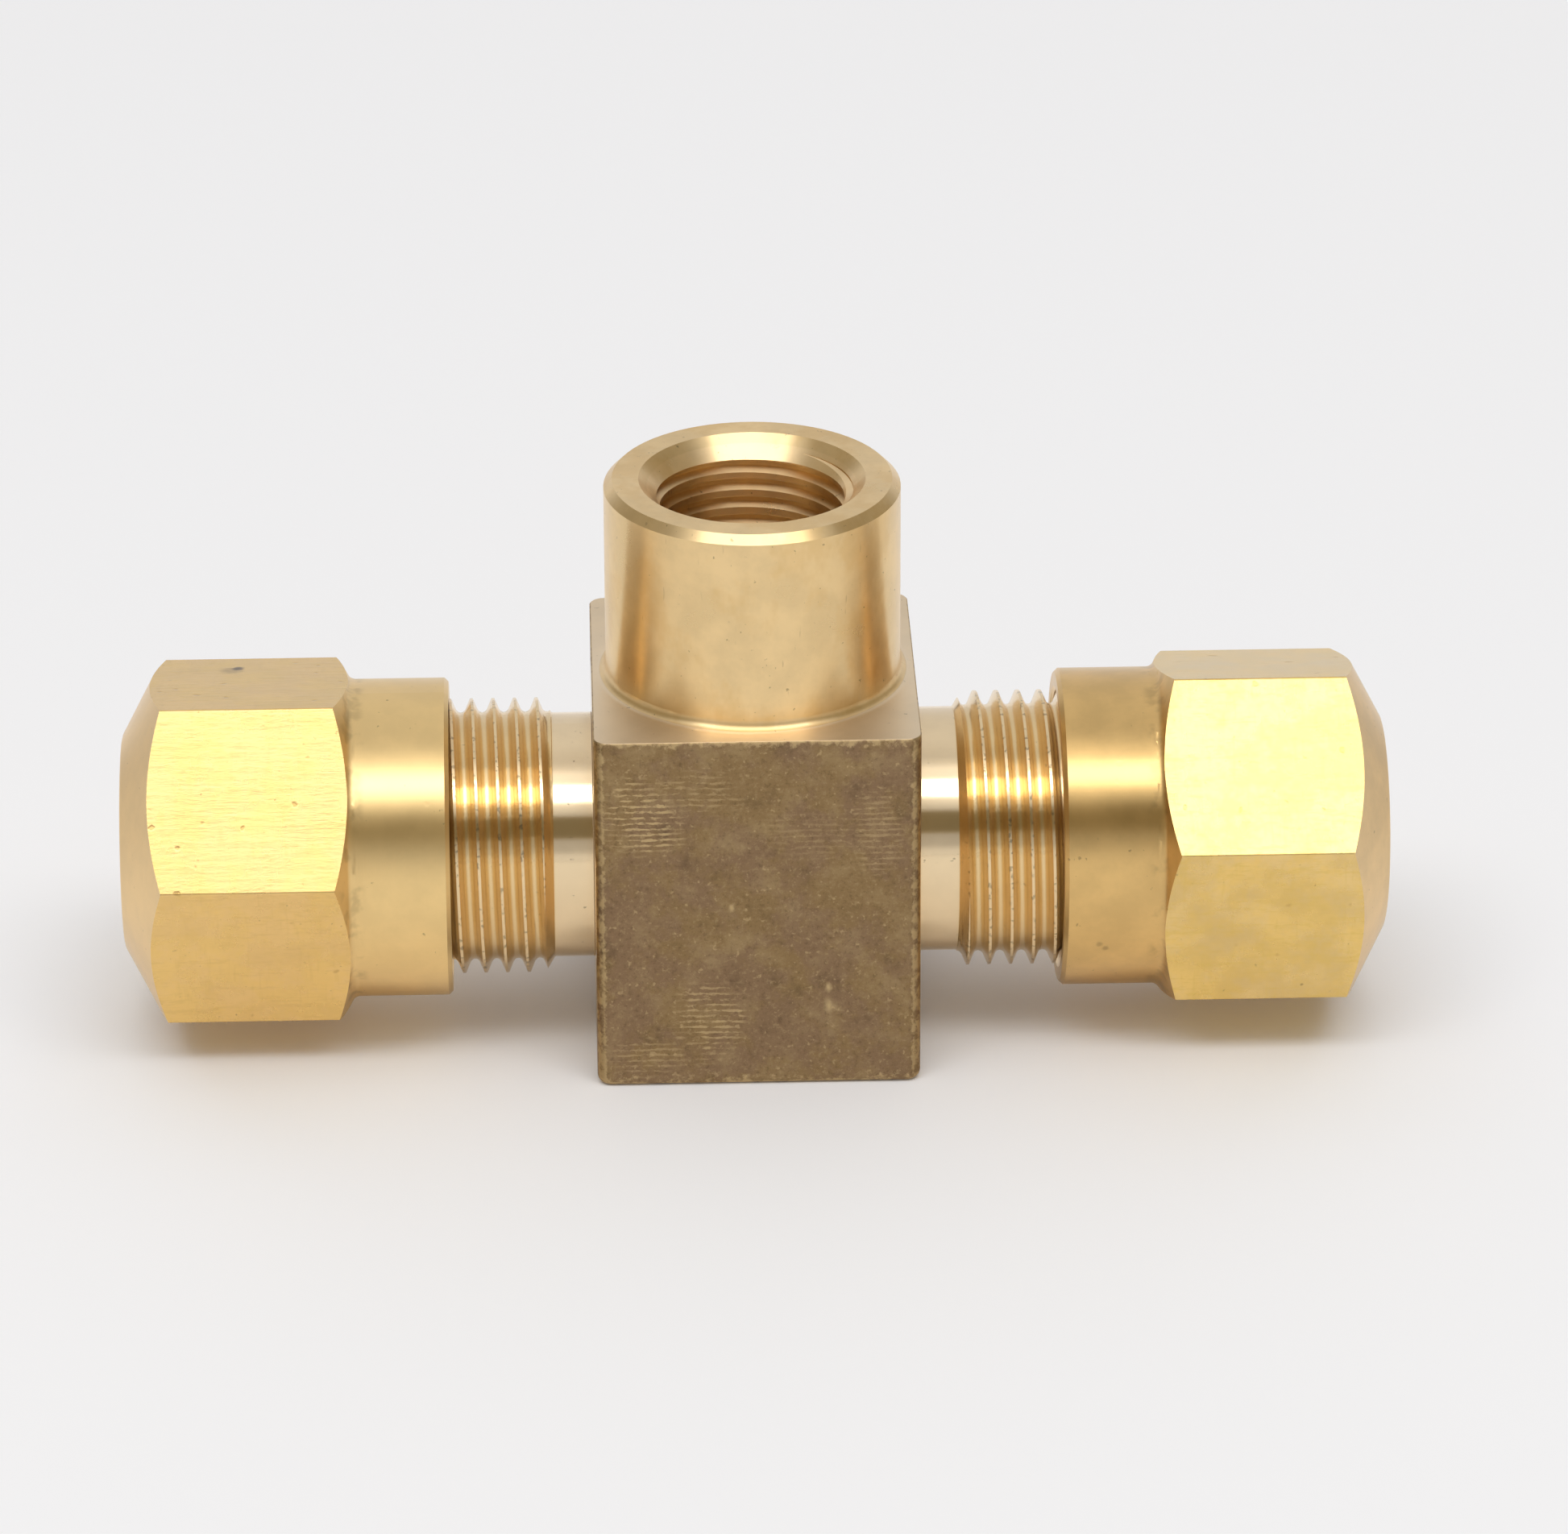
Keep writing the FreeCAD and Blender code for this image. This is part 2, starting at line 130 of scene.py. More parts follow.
class Graph:
    """Adds shader nodes to a tree and links plain numbers or sockets to them."""

    def __init__(self, tree):
        self.tree = tree
        tree.nodes.clear()

    def add(self, kind, inputs=None, **settings):
        node = self.tree.nodes.new(kind)
        for name, value in settings.items():
            setattr(node, name, value)
        for key, value in (inputs or {}).items():
            if isinstance(value, bpy.types.NodeSocket):
                self.tree.links.new(value, node.inputs[key])
            else:
                node.inputs[key].default_value = value
        return node

    def math(self, operation, a, b=0.0, c=0.0):
        return self.add("ShaderNodeMath", {0: a, 1: b, 2: c}, operation=operation).outputs[0]

    def times(self, *values):
        result = values[0]
        for value in values[1:]:
            result = self.math("MULTIPLY", result, value)
        return result

    def plus(self, *values):
        result = values[0]
        for value in values[1:]:
            result = self.math("ADD", result, value)
        return result

    def less(self, a, b):
        return self.math("SUBTRACT", a, b)

    def size(self, value):
        return self.math("ABSOLUTE", value)

    def inverse(self, value):
        """One minus the value."""
        return self.math("SUBTRACT", 1.0, value)

    def split(self, vector):
        return self.add("ShaderNodeSeparateXYZ", {0: vector}).outputs

    def join(self, x, y, z):
        return self.add("ShaderNodeCombineXYZ", {0: x, 1: y, 2: z}).outputs[0]

    def length(self, vector):
        return self.add("ShaderNodeVectorMath", {0: vector}, operation="LENGTH").outputs["Value"]

    def vector(self, operation, a, b=(0.0, 0.0, 0.0)):
        return self.add("ShaderNodeVectorMath", {0: a, 1: b}, operation=operation).outputs["Vector"]

    def step(self, value, low, high):
        """0 below low, 1 above high, smooth between them. Falls instead where low is the larger."""
        if low > high:
            return self.inverse(self.step(value, high, low))
        inputs = {"Value": value, "From Min": low, "From Max": high}
        return self.add("ShaderNodeMapRange", inputs, interpolation_type="SMOOTHSTEP").outputs[0]

    def between(self, value, low, high, soft):
        """1 from low to high, with soft ends."""
        return self.times(self.step(value, low - soft, low), self.step(value, high + soft, high))

    def spread(self, value, low, high):
        """A 0 to 1 value brought to low to high."""
        inputs = {"Value": value, "To Min": low, "To Max": high}
        return self.add("ShaderNodeMapRange", inputs).outputs[0]

    def noise(self, vector, scale, detail=3.0, roughness=0.55):
        """Soft random values from 0 to 1. Scale is about how many of its lumps fit in one unit of length."""
        inputs = {"Vector": vector, "Scale": scale, "Detail": detail, "Roughness": roughness}
        return self.add("ShaderNodeTexNoise", inputs).outputs["Fac"]

    def cells(self, vector, scale):
        """Distance from the nearest random point, in cells, and that point's random number."""
        node = self.add("ShaderNodeTexVoronoi", {"Vector": vector, "Scale": scale})
        number = self.split(node.outputs["Color"])[0]
        return node.outputs["Distance"], number

    def blend(self, factor, a, b):
        """Mix of two colours."""
        node = self.add("ShaderNodeMix", {"Factor": factor}, data_type="RGBA")
        for socket, value in ((node.inputs[6], a), (node.inputs[7], b)):
            if isinstance(value, bpy.types.NodeSocket):
                self.tree.links.new(value, socket)
            else:
                socket.default_value = (*value, 1.0)
        return node.outputs[2]

    def mix(self, factor, a, b):
        """Mix of two numbers."""
        return self.add("ShaderNodeMix", {"Factor": factor, 2: a, 3: b}, data_type="FLOAT").outputs[0]

    def mix_vector(self, factor, a, b):
        return self.add("ShaderNodeMix", {"Factor": factor, 4: a, 5: b}, data_type="VECTOR").outputs[1]

    def tint(self, colour, factor):
        """A colour made lighter or darker by a number."""
        node = self.add("ShaderNodeMix", {"Factor": 1.0}, data_type="RGBA", blend_type="MULTIPLY")
        self.tree.links.new(colour, node.inputs[6])
        self.tree.links.new(self.join(factor, factor, factor), node.inputs[7])
        return node.outputs[2]


class Axis:
    """Coordinates about one axis of the object: place along it, radius, and the direction out from it."""

    def __init__(self, g, x, y, z, name):
        if name == "run":
            self.along = x
            out = g.join(0.0, y, g.less(z, RUN_HEIGHT))
        else:
            self.along = z
            out = g.join(x, y, 0.0)
        self.radius = g.length(out)
        self.out = g.vector("NORMALIZE", out)
        self.g = g

    def rings(self, pitch, wander=0.6):
        """Fine lathe rings: they change quickly along the turned profile and slowly around it."""
        g = self.g
        profile = g.plus(self.along, g.times(self.radius, 1.7))
        across = g.times(profile, 1.0 / pitch)
        inputs = {0: self.out, "Scale": wander}
        around = g.add("ShaderNodeVectorMath", inputs, operation="SCALE").outputs["Vector"]
        return g.noise(g.vector("ADD", g.join(across, 0.0, 0.0), around), 1.0, 2.0, 0.65)


def brass_shader(g, colour, roughness, height, tangent, anisotropy):
    """Metal that is smoother along its lathe or drawn lines than across them. The tangent points across."""
    bump = g.add("ShaderNodeBump", {"Height": height, "Distance": BUMP_DEPTH, "Strength": 1.0})
    inputs = {"Metallic": 1.0, "Base Color": colour, "Roughness": roughness}
    inputs.update({"Anisotropic": anisotropy, "Tangent": tangent, "Normal": bump.outputs[0]})
    shader = g.add("ShaderNodeBsdfPrincipled", inputs)
    g.add("ShaderNodeOutputMaterial", {"Surface": shader.outputs[0]})


def new_material(name):
    material = bpy.data.materials.new(name)
    material.use_nodes = True
    return material, Graph(material.node_tree)


def stretched(g, position, x, y, z):
    """The place with its coordinates multiplied. A noise comes out long where the factor is small."""
    return g.vector("MULTIPLY", position, (x, y, z))


def shifted(g, position, x, y, z):
    """The place moved by a distance, so that one noise doesn't repeat another."""
    return g.vector("ADD", position, (x, y, z))


def end_face(g, normal):
    """1 on faces that are square to the run."""
    return g.step(g.size(g.split(normal)[0]), 0.9, 0.97)


def across_run_rings(g, normal, outward):
    """Direction across the rings of a face turned about the run: lengthwise, but outward on an end face."""
    return g.mix_vector(end_face(g, normal), (1.0, 0.0, 0.0), outward)


def fine_grain(g, position):
    """Bumps too fine to be seen one by one, which soften the gloss."""
    return g.times(g.less(g.noise(position, 9000.0, 2.0, 0.6), 0.5), 0.5)


def spots(g, position, scale, share, size):
    """Small round marks at random places: 1 in a mark, 0 elsewhere. Share is how many cells hold one."""
    distance, number = g.cells(position, scale)
    return g.times(g.step(distance, size, size * 0.45), g.step(number, 1.0 - share, 1.0 - share + 0.01))


def nut_material(name, side):
    """Golden satin brass: turned skirt and nose, drawn flats with lengthwise streaks and small pits."""
    material, g = new_material(name)
    position = g.add("ShaderNodeTexCoord").outputs["Object"]
    geometry = g.add("ShaderNodeNewGeometry").outputs
    x, y, z = g.split(position)
    run = Axis(g, x, y, z, "run")
    reach = g.times(x, side)
    zones = nut_zones(g, run, reach, geometry["Normal"])
    texture = nut_texture(g, position)
    colour = nut_colour(g, side, position, reach, zones, texture)
    for mark in nut_marks(g, side, reach, y, z):
        colour = g.blend(mark, colour, GRIME)
    height = nut_height(g, position, run, zones, texture)
    roughness = nut_roughness(g, side, geometry["Normal"], zones, texture)
    brass_shader(g, colour, roughness, height, nut_tangent(g, geometry, zones), 0.75)
    return material


def nut_zones(g, run, reach, normal):
    """Strengths of a nut's flats, nose, inside and skirt."""
    side_on = g.step(g.size(g.split(normal)[0]), 0.3, 0.2)
    flats = g.times(side_on, g.step(run.radius, SKIRT_RADIUS + 0.04 * MM, SKIRT_RADIUS + 0.08 * MM))
    flats = g.times(flats, g.step(reach, HEX_START, HEX_START + 0.1 * MM))
    nose = g.times(g.inverse(side_on), g.step(reach, NOSE_START - 0.6 * MM, NOSE_START))
    inside = g.step(run.radius, NUT_BORE_RADIUS + 0.15 * MM, NUT_BORE_RADIUS)
    inside = g.times(inside, g.inverse(nose))
    skirt = g.times(g.inverse(flats), g.inverse(nose), g.inverse(inside))
    return {"flats": flats, "nose": nose, "inside": inside, "skirt": skirt}


def nut_texture(g, position):
    """Mottling and small pits over the whole nut, and the streaks of its flats."""
    mottle = g.noise(position, 380.0, 4.0, 0.6)
    ragged_place = g.vector("ADD", position, g.join(g.times(g.less(mottle, 0.5), 2 * MM), 0.0, 0.0))
    return {
        "mottle": mottle,
        "streaks": g.noise(stretched(g, position, 0.22, 1.0, 1.0), 7000.0, 3.0, 0.7),
        "coarse_streaks": g.noise(stretched(g, position, 0.10, 1.0, 1.0), 2400.0, 2.0, 0.6),
        "crossed_streaks": g.noise(stretched(g, position, 1.0, 0.12, 0.12), 4200.0, 2.0, 0.6),
        "pits": spots(g, ragged_place, 900.0, 0.40, 0.17)}


def nut_colour(g, side, position, reach, zones, texture):
    """Each zone's brass, then mottling, the stain where the hexagon starts, drawn lines, pits and specks."""
    patches = g.noise(position, 300.0, 4.0, 0.8)
    colour = g.blend(g.step(patches, 0.40, 0.60), NUT_FLATS[side], YELLOWED_FLATS[side])
    colour = g.blend(zones["skirt"], colour, NUT_SKIRTS[side])
    colour = g.blend(zones["nose"], colour, NUT_NOSES[side])
    colour = g.blend(zones["inside"], colour, INNER_BRASS)
    colour = g.tint(colour, g.spread(g.step(texture["mottle"], 0.30, 0.70), *NUT_MOTTLE[side]))

    corner = g.between(reach, HEX_START - 0.35 * MM, HEX_START + 0.15 * MM, 0.5 * MM)
    stain = g.step(g.noise(position, 700.0, 3.0), 0.48, 0.62)
    colour = g.blend(g.times(corner, stain, g.inverse(zones["flats"]), 0.22), colour, GRIME)

    drawn = g.plus(g.times(texture["streaks"], 0.6), g.times(texture["coarse_streaks"], 0.4))
    crossed = g.times(g.step(texture["crossed_streaks"], 0.56, 0.70), 0.5)
    drawn = g.plus(g.step(drawn, 0.50, 0.64), crossed)
    colour = g.blend(g.times(drawn, zones["flats"], DRAWN_STRENGTH[side]), colour, DRAWN_LINES[side])
    colour = g.blend(g.times(texture["pits"], zones["flats"], 0.5), colour, PIT_BRASS)
    specks = g.step(g.noise(shifted(g, position, 0.013, 0.007, 0.021), 2600.0, 2.0, 0.6), 0.71, 0.77)
    return g.blend(g.times(specks, 0.40), colour, GRIME)


def nut_height(g, position, run, zones, texture):
    """Bumps: lathe rings on what is turned, streaks and deeper pits on the flats, fine grain everywhere."""
    flats = zones["flats"]
    rings = g.times(g.less(run.rings(0.16 * MM), 0.5), g.mix(flats, 1.3, 0.0))
    fine_rings = g.times(g.less(run.rings(0.05 * MM), 0.5), g.mix(flats, 0.5, 0.0))
    streaks = g.times(g.less(texture["streaks"], 0.5), flats, 5.0)
    coarse_streaks = g.times(g.less(texture["coarse_streaks"], 0.5), flats, 6.0)
    height = g.plus(rings, fine_rings, streaks, coarse_streaks, fine_grain(g, position))
    return g.less(height, g.times(texture["pits"], g.mix(flats, 1.2, 8.0)))


def nut_roughness(g, side, normal, zones, texture):
    """The flats are smoother than what is turned, and the one that faces up is the smoothest."""
    level_flat = g.times(zones["flats"], g.step(g.split(normal)[2], 0.9, 0.95))
    roughness = g.mix(zones["flats"], SKIRT_ROUGHNESS[side], g.mix(level_flat, 0.27, 0.18))
    roughness = g.mix(zones["nose"], roughness, 0.34)
    return g.plus(roughness, g.spread(texture["mottle"], -0.05, 0.06))


def nut_tangent(g, geometry, zones):
    """Direction across the lathe rings of the turned faces and the drawn lines of the flats."""
    normal = geometry["Normal"]
    from_axis = g.vector("SUBTRACT", geometry["Position"], (0.0, 0.0, RUN_HEIGHT))
    outward = g.vector("NORMALIZE", g.vector("MULTIPLY", from_axis, (0.0, 1.0, 1.0)))
    across_flat = g.vector("CROSS_PRODUCT", normal, (1.0, 0.0, 0.0))
    return g.mix_vector(zones["flats"], across_run_rings(g, normal, outward), across_flat)


def nut_marks(g, side, reach, y, z):
    """Strengths of the dark handling marks on one nut, each a soft blob at its own place."""
    up = g.less(z, RUN_HEIGHT)
    ragged = g.noise(g.join(reach, y, z), 4200.0, 2.0)
    strengths = []
    for mark_reach, mark_y, mark_up, radius, strength in NUT_MARKS[side]:
        centre = (mark_reach * MM, mark_y * MM, mark_up * MM)
        away = g.length(g.vector("SUBTRACT", g.join(reach, y, up), centre))
        away = g.times(away, g.spread(ragged, 0.5, 1.5))
        strengths.append(g.times(g.step(away, radius * MM, radius * 0.3 * MM), strength))
    return strengths


def body_material(name):
    """The tee's body: turned boss, top, necks and threads, and a tarnished block with rubbed patches."""
    material, g = new_material(name)
    position = g.add("ShaderNodeTexCoord").outputs["Object"]
    normal = g.add("ShaderNodeNewGeometry").outputs["Normal"]
    x, y, z = g.split(position)
    run = Axis(g, x, y, z, "run")
    branch = Axis(g, x, y, z, "branch")
    zones = body_zones(g, normal, run, branch)
    tarnish, tarnish_colour, tarnish_height = tarnish_layer(g, position, run, zones)
    mottle = g.noise(position, 420.0, 4.0, 0.6)

    colour = body_colour(g, position, run, zones, mottle)
    colour = g.blend(tarnish, colour, tarnish_colour)
    height = body_height(g, position, run, branch, zones, g.inverse(tarnish))
    height = g.plus(height, tarnish_height)
    roughness = g.mix(tarnish, body_roughness(g, zones, mottle), 0.56)
    brass_shader(g, colour, roughness, height, body_tangent(g, normal, run, branch, zones), 0.9)
    return material


def body_zones(g, normal, run, branch):
    """Strengths of the arms, their threads, the boss, the bores, and the block's top, shoulders and skin."""
    reach = g.size(run.along)
    height = branch.along
    arms = g.step(reach, BLOCK_HALF_WIDTH + EDGE_GAP, BLOCK_HALF_WIDTH + 2 * EDGE_GAP)
    threads = g.times(arms, g.step(reach, NECK_END - 0.1 * MM, NECK_END + 0.05 * MM))
    boss = g.times(g.step(height, BLOCK_TOP + EDGE_GAP, BLOCK_TOP + 2 * EDGE_GAP), g.inverse(arms))
    branch_bore = g.step(branch.radius, BRANCH_BORE_RADIUS + 0.07 * MM, BRANCH_BORE_RADIUS)
    run_bore = g.step(run.radius, RUN_BORE_RADIUS + 0.1 * MM, RUN_BORE_RADIUS)
    inner = g.math("MAXIMUM", run_bore, branch_bore)
    block = g.times(g.inverse(arms), g.inverse(boss), g.inverse(inner))
    level = g.step(g.split(normal)[2], 0.6, 0.8)
    top = g.times(block, level, g.step(height, BLOCK_TOP - EDGE_GAP, BLOCK_TOP))
    shoulder = g.times(block, end_face(g, normal))
    return {
        "arms": arms, "threads": threads, "boss": boss, "inner": inner,
        "inner_boss": g.times(boss, branch_bore), "top": top, "shoulder": shoulder,
        "turned_run": g.math("MAXIMUM", arms, shoulder), "skin": g.times(block, g.inverse(top))}


def body_colour(g, position, run, zones, mottle):
    """Each zone's brass, then mottling, smudges on the boss, thread crests with a painted highlight and dark
    burrs, specks and scratches.
    """
    boss = zones["boss"]
    colour = g.blend(boss, ARM_BRASS, BOSS_BRASS)
    colour = g.blend(zones["threads"], colour, THREAD_BRASS)
    colour = g.blend(g.math("MAXIMUM", zones["top"], zones["shoulder"]), colour, FACED_BRASS)
    colour = g.blend(zones["inner"], colour, INNER_BRASS)
    darkest, lightest = g.mix(boss, 0.96, 0.92), g.mix(boss, 1.02, 1.05)
    colour = g.tint(colour, g.spread(g.step(mottle, 0.32, 0.68), darkest, lightest))
    smudge = g.noise(stretched(g, position, 1.0, 1.0, 0.7), 330.0, 4.0, 0.65)
    colour = g.blend(g.times(g.step(smudge, 0.48, 0.64), boss, 0.42), colour, SMUDGE_BRASS)

    crest = g.times(zones["threads"], g.step(run.radius, CREST_RADIUS, CREST_RADIUS + 0.1 * MM))
    # Thread crests painted lighter: a painted highlight standing in for their bright glints
    colour = g.blend(g.times(crest, 0.30), colour, FACED_BRASS)
    dirty = g.step(g.noise(position, 3800.0, 2.0), 0.55, 0.66)
    colour = g.blend(g.times(crest, dirty, 0.45), colour, GRIME)
    specks = g.step(g.noise(position, 3000.0, 2.0, 0.6), 0.70, 0.76)
    colour = g.blend(g.times(specks, 0.45), colour, GRIME)
    scratches = g.noise(stretched(g, position, 1.0, 1.0, 0.18), 3400.0, 2.0, 0.6)
    return g.blend(g.times(g.step(scratches, 0.70, 0.77), boss, 0.30), colour, TARNISH_BROWN)


def body_height(g, position, run, branch, zones, bare):
    """Bumps: lathe rings about the run or the branch where the brass is bare, and fine grain everywhere."""
    turned_run = zones["turned_run"]
    rings = g.mix(turned_run, branch.rings(0.15 * MM), run.rings(0.15 * MM))
    fine_rings = g.mix(turned_run, branch.rings(0.05 * MM), run.rings(0.05 * MM))
    rings = g.times(g.less(rings, 0.5), bare, g.mix(zones["arms"], 1.5, 0.7))
    fine_rings = g.times(g.less(fine_rings, 0.5), bare, 0.6)
    return g.plus(rings, fine_rings, fine_grain(g, position))


def body_roughness(g, zones, mottle):
    """Of the bare brass, the necks and the faced shoulders are the smoothest and the top is the dullest."""
    roughness = g.mix(zones["boss"], 0.18, 0.28)
    roughness = g.mix(zones["threads"], roughness, 0.24)
    roughness = g.mix(zones["top"], roughness, 0.36)
    roughness = g.mix(zones["inner_boss"], roughness, 0.28)
    return g.plus(roughness, g.spread(mottle, -0.03, 0.04))


def body_tangent(g, normal, run, branch, zones):
    """Direction across the lathe rings, which go round the run or the branch."""
    level = g.step(g.split(normal)[2], 0.9, 0.97)
    across_branch_rings = g.mix_vector(level, (0.0, 0.0, 1.0), branch.out)
    return g.mix_vector(zones["turned_run"], across_branch_rings, across_run_rings(g, normal, run.out))


def tarnish_layer(g, position, run, zones):
    """Where the block is still covered by its dark skin, the skin's colour, and its bumps."""
    ragged = g.noise(position, 1500.0, 3.0, 0.6)
    faced = g.plus(run.radius, g.times(g.less(ragged, 0.5), 0.8 * MM))
    faced = g.times(zones["shoulder"], g.step(faced, FACED_RADIUS + 0.25 * MM, FACED_RADIUS))
    cover = g.times(zones["skin"], g.inverse(faced))

    blotch = g.noise(position, 480.0, 5.0, 0.68)
    hue = g.noise(shifted(g, position, 0.05, 0.02, 0.01), 320.0, 4.0, 0.7)
    grain = g.noise(position, 3300.0, 4.0, 0.75)
    speckle = g.noise(shifted(g, position, 0.01, 0.04, 0.03), 2600.0, 2.0, 0.6)
    colour = g.blend(g.step(hue, 0.40, 0.60), TARNISH_BROWN, TARNISH_GOLD)
    colour = g.blend(g.times(g.step(blotch, 0.46, 0.72), 0.45), colour, TARNISH_LIGHT)
    colour = g.blend(g.times(g.step(blotch, 0.46, 0.30), 0.30), colour, GRIME)
    colour = g.blend(g.times(g.step(grain, 0.52, 0.66), 0.42), colour, TARNISH_LIGHT)
    colour = g.blend(g.times(g.step(grain, 0.47, 0.34), 0.28), colour, GRIME)
    colour = g.blend(g.times(g.step(speckle, 0.62, 0.72), 0.45), colour, WORN_BRASS)

    rubbed = rub_lines(g, position)
    colour = g.blend(g.times(rubbed, 0.8), colour, WORN_BRASS)
    # Pale strips along the block's edges: partly real wear, partly a painted highlight of the rounded edges
    colour = g.blend(g.times(worn_and_highlit_edges(g, position), 0.75), colour, WORN_BRASS)
    x, _, z = g.split(position)
    for spot_x, spot_z, radius in LIGHT_SPOTS:
        place = g.join(x, 0.0, g.times(z, SPOT_HEIGHT_SHARE))
        away = g.vector("SUBTRACT", place, (spot_x * MM, 0.0, spot_z * SPOT_HEIGHT_SHARE * MM))
        near = g.plus(g.length(away), g.times(g.less(ragged, 0.5), 0.5 * MM))
        colour = g.blend(g.times(g.step(near, radius * MM, 0.0), 0.8), colour, WORN_BRASS)

    height = g.times(g.plus(g.times(grain, 3.5), g.times(blotch, 6.0), g.times(rubbed, 2.0)), cover)
    return cover, colour, height


def worn_and_highlit_edges(g, position):
    """Ragged strips along the block's edges: partly real wear, where handling has taken the skin off, and
    partly a painted highlight of the rounded edges, widest along the bottom.
    """
    x, y, z = g.split(position)
    side_gap = g.less(BLOCK_HALF_WIDTH, g.size(x))
    front_gap = g.less(BLOCK_HALF_DEPTH, g.size(y))
    upright = g.times(g.size(g.less(g.plus(side_gap, front_gap), BLOCK_CORNER)), 3.6)
    # Height above the floor counts for less, so the strip is wider along the bottom: a painted highlight
    # standing in for the bright rim of the rounded bottom edge
    level = g.math("MINIMUM", g.times(z, 0.6), g.less(BLOCK_TOP, z))
    ragged = g.noise(position, 1900.0, 4.0, 0.7)
    near = g.plus(g.math("MINIMUM", upright, level), g.times(g.less(ragged, 0.5), 1.7 * MM))
    return g.step(near, 0.30 * MM, -0.05 * MM)


def rub_lines(g, position):
    """Fine level lines where the skin has been rubbed through, kept to a few patches of the block."""
    x, _, z = g.split(position)
    ragged = g.noise(position, 900.0, 3.0, 0.6)
    cover = 0.0
    for patch_x, patch_z, half_x, half_z, strength in RUBBED_PATCHES:
        across = g.times(g.less(x, patch_x * MM), 1.0 / (half_x * MM))
        up = g.times(g.less(z, patch_z * MM), 1.0 / (half_z * MM))
        away = g.plus(g.length(g.join(across, up, 0.0)), g.times(g.less(ragged, 0.5), 1.4))
        cover = g.math("MAXIMUM", g.times(g.step(away, 1.15, 0.55), strength), cover)
    bend = g.times(g.noise(position, 260.0, 1.0), 0.35 * MM)
    wave = g.math("SINE", g.times(g.plus(z, bend), 2 * math.pi / RUB_LINE_PITCH))
    broken = g.noise(stretched(g, position, 0.5, 0.5, 1.6), 3600.0, 3.0, 0.7)
    lines = g.step(g.plus(wave, g.times(g.less(broken, 0.5), 7.0)), 0.1, 1.3)
    return g.times(lines, cover)


def small_part_material(name, colour):
    """Plain turned brass for the sleeves and tube supports."""
    material, g = new_material(name)
    position = g.add("ShaderNodeTexCoord").outputs["Object"]
    normal = g.add("ShaderNodeNewGeometry").outputs["Normal"]
    x, y, z = g.split(position)
    run = Axis(g, x, y, z, "run")
    mottle = g.noise(position, 600.0, 3.0, 0.6)
    brass = g.blend(g.step(mottle, 0.35, 0.65), colour, tuple(0.92 * c for c in colour))
    height = g.plus(g.times(run.rings(0.12 * MM), 1.5), g.times(g.noise(position, 9000.0), 0.5))
    roughness = g.spread(mottle, 0.22, 0.32)
    brass_shader(g, brass, roughness, height, across_run_rings(g, normal, run.out), 0.7)
    return material


def assign(node, material):
    for slot in frame["nodes"][node].material_slots:
        slot.link = "OBJECT"
        slot.material = material


def finish_nodes():
    assign("tee_body", body_material("body_brass"))
    assign("left_nut", nut_material("left_nut_brass", -1))
    assign("right_nut", nut_material("right_nut_brass", 1))
    for side in ("left", "right"):
        assign(side + "_sleeve", small_part_material(side + "_sleeve_brass", SLEEVE_BRASS))
        assign(side + "_tube_support", small_part_material(side + "_support_brass", ARM_BRASS))


def make_floor():
    material, g = new_material("pale_floor")
    inputs = {"Base Color": (*FLOOR_COLOUR, 1.0), "Roughness": 0.75, "Specular IOR Level": 0.2}
    inputs.update({"Emission Color": (1.0, 1.0, 1.0, 1.0), "Emission Strength": FLOOR_GLOW})
    shader = g.add("ShaderNodeBsdfPrincipled", inputs)
    g.add("ShaderNodeOutputMaterial", {"Surface": shader.outputs[0]})
    mesh = bpy.data.meshes.new("floor")
    half = FLOOR_HALF
    corners = [(-half, -half, 0), (half, -half, 0), (half, half, 0), (-half, half, 0)]
    mesh.from_pydata(corners, [], [(0, 1, 2, 3)])
    mesh.materials.append(material)
    floor = bpy.data.objects.new("floor", mesh)
    bpy.context.scene.collection.objects.link(floor)


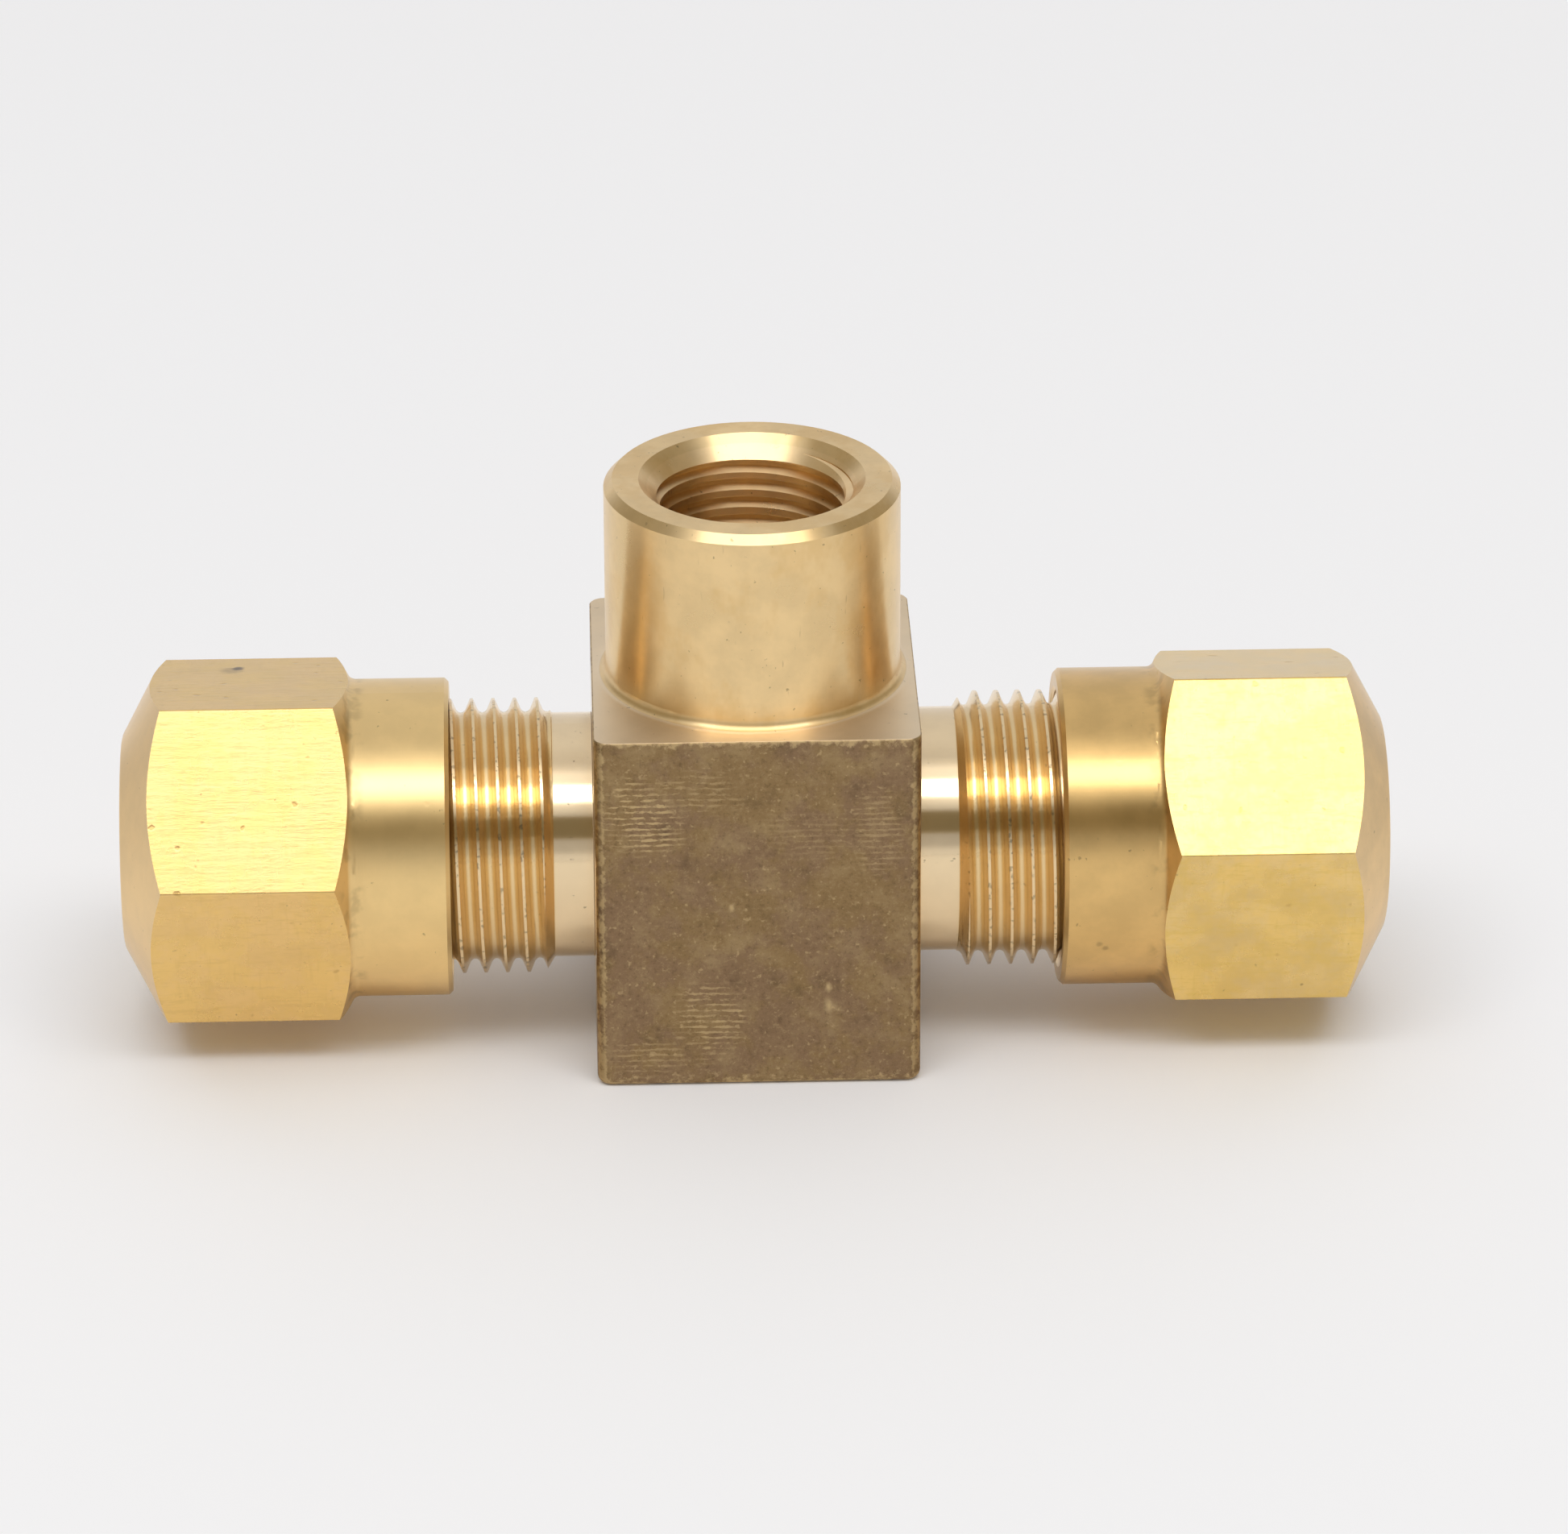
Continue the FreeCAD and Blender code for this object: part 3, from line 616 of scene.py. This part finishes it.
def make_world():
    """Pale room with a bright band high in front and a dark one below it, and dimmer sides."""
    world = bpy.data.worlds.new("studio")
    world.use_nodes = True
    bpy.context.scene.world = world
    g = Graph(world.node_tree)
    x, y, z = g.split(g.add("ShaderNodeTexCoord").outputs["Generated"])
    angle = g.math("ARCTAN2", z, g.times(y, -1.0))
    ramp = g.add("ShaderNodeValToRGB", {0: g.times(angle, 1.0 / math.pi)})
    brightest = max(brightness for degrees, brightness in ROOM_LIGHT)
    stops = ramp.color_ramp.elements
    while len(stops) < len(ROOM_LIGHT):
        stops.new(0.5)
    for stop, (degrees, brightness) in zip(stops, ROOM_LIGHT):
        stop.position = degrees / 180
        grey = brightness / brightest
        stop.color = (grey, grey, grey, 1.0)
    level = g.times(ramp.outputs[0], brightest)
    sides = g.step(g.size(x), SIDES_FROM, SIDES_TO)
    level = g.mix(g.times(sides, g.step(z, 0.0, 0.2)), level, ROOM_SIDES)
    tint = g.mix_vector(g.step(level, 0.45, 0.25), ROOM_TINT, DARK_BAND_TINT)
    room = g.vector("MULTIPLY", tint, g.join(level, level, level))
    seen = g.add("ShaderNodeLightPath").outputs["Is Camera Ray"]
    background = g.add("ShaderNodeBackground", {"Color": g.blend(seen, room, BACKDROP), "Strength": 1.0})
    g.add("ShaderNodeOutputWorld", {"Surface": background.outputs[0]})


def make_lamp():
    """A long soft box one metre away, across the view."""
    place = Vector((0.0, -math.cos(LAMP_ELEVATION), math.sin(LAMP_ELEVATION)))
    aim = Vector((0.0, 0.0, RUN_HEIGHT))
    data = bpy.data.lights.new("strip_lamp", "AREA")
    data.shape = "RECTANGLE"
    data.size = LAMP_WIDTH
    data.size_y = LAMP_HEIGHT
    data.energy = LAMP_RADIANCE * math.pi * LAMP_WIDTH * LAMP_HEIGHT
    lamp = bpy.data.objects.new("strip_lamp", data)
    bpy.context.scene.collection.objects.link(lamp)
    lamp.location = place
    lamp.rotation_euler = (aim - place).to_track_quat("-Z", "Y").to_euler()


def make_camera():
    data = bpy.data.cameras.new("camera")
    data.sensor_width = 36.0
    data.lens = LENS
    data.clip_start = 0.01
    camera = bpy.data.objects.new("camera", data)
    bpy.context.scene.collection.objects.link(camera)
    turn = Matrix.Rotation(CAMERA_TURN, 4, "Z")
    tilt = Matrix.Rotation(CAMERA_TILT, 4, "X")
    roll = Matrix.Rotation(CAMERA_ROLL, 4, "Z")
    camera.matrix_world = Matrix.Translation(CAMERA_PLACE) @ turn @ tilt @ roll
    bpy.context.scene.camera = camera


finish_nodes()
make_floor()
make_world()
make_lamp()
make_camera()
bpy.context.scene.view_settings.view_transform = "Standard"
